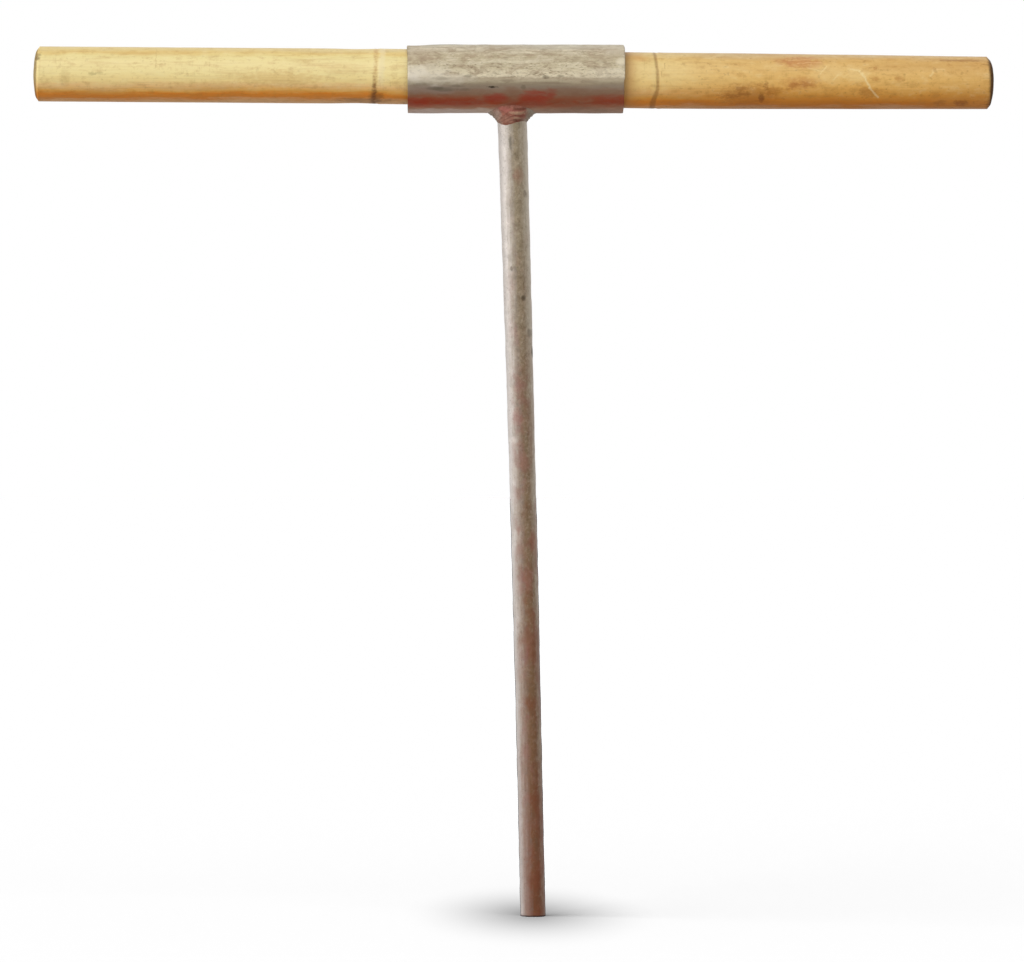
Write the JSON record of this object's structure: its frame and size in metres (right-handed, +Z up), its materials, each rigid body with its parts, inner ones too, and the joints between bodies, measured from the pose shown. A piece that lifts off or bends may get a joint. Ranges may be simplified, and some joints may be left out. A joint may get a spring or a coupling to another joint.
{
  "type": "hand auger",
  "caption": "T-handled hand auger: a cane pole passed through a short steel sleeve, with a round tapering steel shank fillet-welded square under it and sawn level at the foot.",
  "frame": {"origin": "middle of the shank's level foot, where the tool stands", "axes": "+Z up, +X along the pole to the right as seen from the front, -Y the front"},
  "size_m": [0.6719, 0.0482, 0.61],
  "materials": {
    "sleeve_steel": "matte",
    "shank_steel": "matte",
    "weld_metal": "matte",
    "cane": "satin"
  },
  "bodies": {
    "steelwork": {"sleeve": "sleeve_steel", "shank": "shank_steel", "weld_bead": "weld_metal"},
    "pole": {"handle_pole": "cane"}
  },
  "joints": [
    {"name": "pole_slide", "type": "slide", "parent": "steelwork", "child": "pole", "axis": [1, 0, -0.0083], "range_m": [-0.25, 0.25]}
  ]
}
